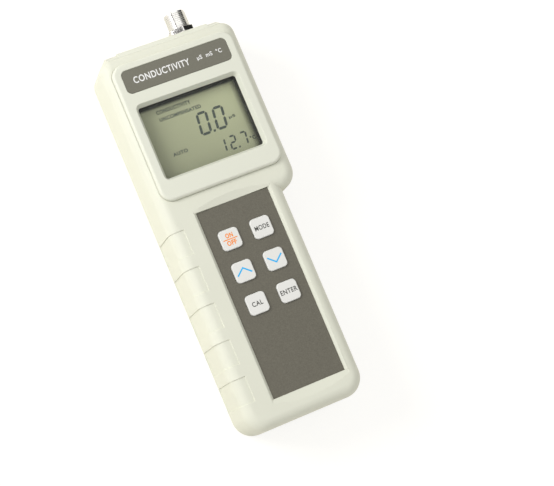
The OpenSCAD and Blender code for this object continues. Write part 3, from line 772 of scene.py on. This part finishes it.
orange_ink = ink("orange_ink", (0.95, 0.26, 0.004))
blue_ink = ink("blue_ink", (0.02, 0.46, 0.9))
grey_ink = ink("grey_ink", (0.075, 0.075, 0.068))
white_ink = ink("white_ink", (0.86, 0.86, 0.85))
segment_ink = ink("segment_ink", (0.045, 0.065, 0.05), 0.35)


# %% Words
def word_mesh(text, left, right, low, high, level, thick, bold=0.02, spacing=1.1):
    """Text as a mesh that fills a box in plan, in millimetres, and stands on a level."""
    curve = bpy.data.curves.new("word", "FONT")
    curve.body = text
    curve.space_character = spacing
    curve.offset = bold
    curve.extrude = 0.01
    holder = new_object("word", curve)
    shown = holder.evaluated_get(bpy.context.evaluated_depsgraph_get())
    mesh = bpy.data.meshes.new_from_object(shown)
    bpy.data.objects.remove(holder)
    axes = list(zip(*(v.co for v in mesh.vertices)))
    start = [min(axis) for axis in axes]
    wide, tall, deep = (max(axis) - min(axis) for axis in axes)
    for v in mesh.vertices:
        v.co = Vector((
            left + (v.co.x - start[0]) / wide * (right - left),
            low + (v.co.y - start[1]) / tall * (high - low),
            level + (v.co.z - start[2]) / deep * thick,
        )) * mm
    return mesh


def joined(meshes, name):
    """Several meshes as one."""
    form = bmesh.new()
    for mesh in meshes:
        form.from_mesh(mesh)
    return as_mesh(form, name)


# %% [markdown]
# ## Marks without letters
#
# The bar on the first key, the two arrows and the figures of the display are flat outlines. A
# font has no such signs in the right width, so each is drawn as a list of points and given the
# thickness of ink.

# %% Flat marks
def slab_mesh(outlines, level, thick):
    """Flat outlines in plan, in millimetres, given a thickness."""
    form = bmesh.new()
    for outline in outlines:
        low = [form.verts.new(Vector((x, y, level)) * mm) for x, y in outline]
        high = [form.verts.new(Vector((x, y, level + thick)) * mm) for x, y in outline]
        form.faces.new(high)
        form.faces.new(list(reversed(low)))
        for i in range(len(outline)):
            j = (i + 1) % len(outline)
            form.faces.new((low[i], low[j], high[j], high[i]))
    bmesh.ops.recalc_face_normals(form, faces=form.faces)
    return as_mesh(form, "slab")


def stroke(points, width):
    """Outline of a line of even width through some points."""
    left, right = [], []
    for i, (x, y) in enumerate(points):
        ahead = Vector(points[min(i + 1, len(points) - 1)]) - Vector((x, y))
        behind = Vector((x, y)) - Vector(points[max(i - 1, 0)])
        along = (ahead.normalized() + behind.normalized()).normalized()
        side = Vector((-along.y, along.x))
        turn = ahead.normalized() if ahead.length else behind.normalized()
        reach = width / 2 / max(0.5, side.dot(Vector((-turn.y, turn.x))))
        left.append((x + side.x * reach, y + side.y * reach))
        right.append((x - side.x * reach, y - side.y * reach))
    return right + left[::-1]


def finish_piece(mesh, name, material, body):
    """Puts a finished mesh in the scene and lets it ride on a body."""
    paint(mesh, material)
    piece = new_object(name, mesh)
    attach(piece, body)
    print(name, "faces:", len(mesh.polygons))
    return piece


# %% [markdown]
# ## Legends on the keys
#
# Every legend rides on its own key, because it has to sink with it. Its foot lies a hundredth of
# a millimetre inside the key, so that no gap shows between ink and plastic. The places come
# from the keys' own boxes, so the legends follow when a key moves.

# %% Places of the legends
ink_thick = 0.03
ink_sunk = 0.01
legend_tall = 2.35
switch_tall = 2.4
switch_up = 1.85
switch_bold = 0.035
bar_half = 3.6
bar_width = 0.45
arrow_half = 3.7
arrow_rise = 1.6
arrow_width = 0.7


def key_frame(key):
    """Centre in plan and top level of a key, in millimetres."""
    low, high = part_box(f"key_{key}")
    middle = (low + high) / 2 / mm
    return middle.x, middle.y, high.z / mm - ink_sunk


def legend(key, text, wide, tall, up=0.0, bold=0.02):
    """A word on a key, some millimetres above or below its middle."""
    x, y, level = key_frame(key)
    low, high = y + up - tall / 2, y + up + tall / 2
    return word_mesh(text, x - wide / 2, x + wide / 2, low, high, level, ink_thick, bold)


# %% Key legends
x, y, level = key_frame("on_off")
bar = slab_mesh([stroke([(x - bar_half, y), (x + bar_half, y)], bar_width)], level, ink_thick)
word_on = legend("on_off", "ON", 3.7, switch_tall, switch_up, switch_bold)
word_off = legend("on_off", "OFF", 4.8, switch_tall, -switch_up, switch_bold)
switch_words = joined([word_on, bar, word_off], "on_off")
finish_piece(switch_words, "legend_on_off", orange_ink, "on_off_key")

for key, text, wide in (("mode", "MODE", 7.4), ("cal", "CAL", 5.5), ("enter", "ENTER", 8.7)):
    words = legend(key, text, wide, legend_tall)
    finish_piece(words, f"legend_{key}", grey_ink, f"{key}_key")

for key, way in (("up", 1), ("down", -1)):
    x, y, level = key_frame(key)
    tip, foot = y + arrow_rise * way, y - arrow_rise * way
    points = [(x - arrow_half, foot), (x, tip), (x + arrow_half, foot)]
    arrow = slab_mesh([stroke(points, arrow_width)], level, ink_thick)
    finish_piece(arrow, f"arrow_{key}", blue_ink, f"{key}_key")

# %% [markdown]
# ## Display
#
# The read-out is a pattern of liquid-crystal segments between two glasses. The olive glass lets
# no light through here, so the segments lie on its face, as thin as ink. Large and small figures
# share one shape, seven slanted bars with pointed ends, so one function draws a figure from its
# list of lit bars.

# %% Seven-segment figures
LIT = {"0": "abcdef", "1": "bc", "2": "abged", "7": "abc"}
segment_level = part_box("lcd_front_glass")[1].z / mm - ink_sunk
segment_thick = 0.03
slant = math.tan(math.radians(6.5))


def figure(character, left, low, wide, tall, bar):
    """Outlines of the lit bars of one figure, in millimetres."""
    gap = bar * 0.12
    middle = tall / 2
    ends = {
        "a": ((0, tall), (wide, tall)), "g": ((0, middle), (wide, middle)),
        "d": ((0, 0), (wide, 0)), "f": ((0, middle), (0, tall)),
        "b": ((wide, middle), (wide, tall)), "e": ((0, 0), (0, middle)),
        "c": ((wide, 0), (wide, middle)),
    }
    shapes = []
    for name in LIT[character]:
        (x0, y0), (x1, y1) = ends[name]
        h = bar / 2
        if y0 == y1:
            points = [(x0 + gap, y0), (x0 + h + gap, y0 - h), (x1 - h - gap, y0 - h),
                      (x1 - gap, y0), (x1 - h - gap, y0 + h), (x0 + h + gap, y0 + h)]
        else:
            points = [(x0, y0 + gap), (x0 + h, y0 + h + gap), (x0 + h, y1 - h - gap),
                      (x0, y1 - gap), (x0 - h, y1 - h - gap), (x0 - h, y0 + h + gap)]
        shapes.append([(left + x + y * slant, low + y) for x, y in points])
    return shapes


def dot(x, y, size):
    """Outline of a square dot that leans as the figures do."""
    h, lean = size / 2, size * slant
    return [(x - h, y - h), (x + h, y - h), (x + h + lean, y + h), (x - h + lean, y + h)]


# %% Read-out
big_low, big_tall, big_bar = 46.7, 10.4, 1.3
small_low, small_tall, small_bar = 35.1, 6.3, 0.92
bars = []
for character, left, wide in (("0", 0.6, 4.6), ("0", 9.0, 4.6)):
    bars += figure(character, left, big_low, wide, big_tall, big_bar)
for character, left, wide in (("1", 5.9, 2.9), ("2", 11.6, 2.7), ("7", 17.2, 2.9)):
    bars += figure(character, left, small_low, wide, small_tall, small_bar)
bars += [dot(7.0, big_low, 1.15), dot(15.5, small_low, 0.9)]

display_parts = [slab_mesh(bars, segment_level, segment_thick)]
for text, left, right, low, high in (
    ("CONDUCTIVITY", -16.4, 1.4, 63.2, 65.2),
    ("UNCOMPENSATED", -16.2, 5.4, 59.5, 61.4),
    ("AUTO", -16.7, -9.0, 41.4, 43.3),
    ("µS", 16.1, 19.5, 49.4, 51.2),
    ("°C", 21.9, 24.9, 36.2, 38.3),
):
    display_parts.append(word_mesh(
        text, left, right, low, high, segment_level, segment_thick, bold=0.04, spacing=1.15))
finish_piece(joined(display_parts, "read_out"), "read_out", segment_ink, "case")
print("bars and dots of the read-out:", len(bars))

# %% [markdown]
# ## Name plate
#
# The dark plate over the window carries pale lettering on such meters. Here it holds the name
# of the quantity and its units, which any maker's meter could carry.

# %% Plate lettering
plate_low, plate_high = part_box("name_plate")
plate_level = plate_high.z / mm - ink_sunk
plate_y = (plate_low.y + plate_high.y) / 2 / mm
plate_words = [
    word_mesh("CONDUCTIVITY", -22.5, 6.5, plate_y - 1.7, plate_y + 1.7, plate_level, ink_thick),
    word_mesh("µS  mS  °C", 10.5, 23.5, plate_y - 1.35, plate_y + 1.35, plate_level, ink_thick),
]
finish_piece(joined(plate_words, "plate_words"), "plate_words", white_ink, "case")

# %% [markdown]
# ## Probe thread
#
# The barrel's thread is a fine ridge that winds round it. Geometry Nodes have a Spiral curve,
# which with the same radius at both ends is a helix, and Curve to Mesh sweeps a small
# four-sided bar along it, of which the outer half shows. The pitch and the radius are inputs of
# the tree.

# %% Sizes of the thread
barrel_low, barrel_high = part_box("connector_barrel")
socket_x = (barrel_low.x + barrel_high.x) / 2 / mm
socket_z = (barrel_low.z + barrel_high.z) / 2 / mm
nut_clear = 0.6
rim_clear = 0.5
rim_long = 1.5
thread_pitch = 0.9
ridge_size = 0.3
ridge_sunk = 0.12
spiral_steps = 40
thread_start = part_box("connector_nut")[1].y / mm + nut_clear
thread_end = barrel_high.y / mm - rim_clear
rim_from = barrel_high.y - rim_long * mm
rim_points = [v.co for v in nodes["connector_barrel"].data.vertices if v.co.y > rim_from]
barrel_radius = max(point.x for point in rim_points) / mm - socket_x
thread_radius = barrel_radius - ridge_sunk
print("barrel radius in millimetres:", round(barrel_radius, 2))


# %% Thread tree
def thread_tree():
    """The tree, and the values of its inputs by their identifiers."""
    group = bpy.data.node_groups.new("thread", "GeometryNodeTree")
    group.interface.new_socket("Geometry", in_out="OUTPUT", socket_type="NodeSocketGeometry")
    values = {}
    for name, kind, value in (
        ("Radius", "NodeSocketFloat", thread_radius * mm),
        ("Pitch", "NodeSocketFloat", thread_pitch * mm),
        ("Length", "NodeSocketFloat", (thread_end - thread_start) * mm),
        ("Ridge", "NodeSocketFloat", ridge_size * mm),
        ("Finish", "NodeSocketMaterial", chrome),
    ):
        socket = group.interface.new_socket(name, in_out="INPUT", socket_type=kind)
        values[socket.identifier] = value

    tree = NodeTree(group)
    names = ("Radius", "Pitch", "Length", "Ridge", "Finish")
    radius, pitch, length, size, finish = (tree.add("NodeGroupInput", output=n) for n in names)
    helix = tree.add("GeometryNodeCurveSpiral", {
        "Resolution": spiral_steps, "Rotations": length / pitch, "Height": length,
        "Start Radius": radius, "End Radius": radius,
    })
    ridge = tree.add("GeometryNodeCurvePrimitiveCircle", {"Resolution": 4, "Radius": size})
    sweep_inputs = {"Curve": helix, "Profile Curve": ridge, "Fill Caps": True}
    sweep = tree.add("GeometryNodeCurveToMesh", sweep_inputs)
    real = tree.add("GeometryNodeRealizeInstances", {"Geometry": sweep})
    coated = tree.add("GeometryNodeSetMaterial", {"Geometry": real, "Material": finish})
    tree.add("NodeGroupOutput", {"Geometry": coated})
    return group, values


def grown(group, values, name):
    """The plain mesh that a Geometry Nodes tree makes with these input values."""
    holder = new_object(name, bpy.data.meshes.new(name))
    modifier = holder.modifiers.new(name, "NODES")
    modifier.node_group = group
    for identifier, value in values.items():
        modifier[identifier] = value
    mesh = settle(holder).data
    bpy.data.objects.remove(holder)
    return mesh


# %% Thread
thread = grown(*thread_tree(), "thread")
turn_to_y = Matrix.Rotation(math.radians(-90), 4, "X")
thread.transform(Matrix.Translation(Vector((socket_x, thread_start, socket_z)) * mm) @ turn_to_y)
finish_piece(thread, "socket_thread", chrome, "case")
print("thread turns:", round((thread_end - thread_start) / thread_pitch, 1))

# %% [markdown]
# ## Last settings
#
# The Standard view shows colours as they are written.

# %% View settings and the end
bpy.context.scene.view_settings.view_transform = "Standard"
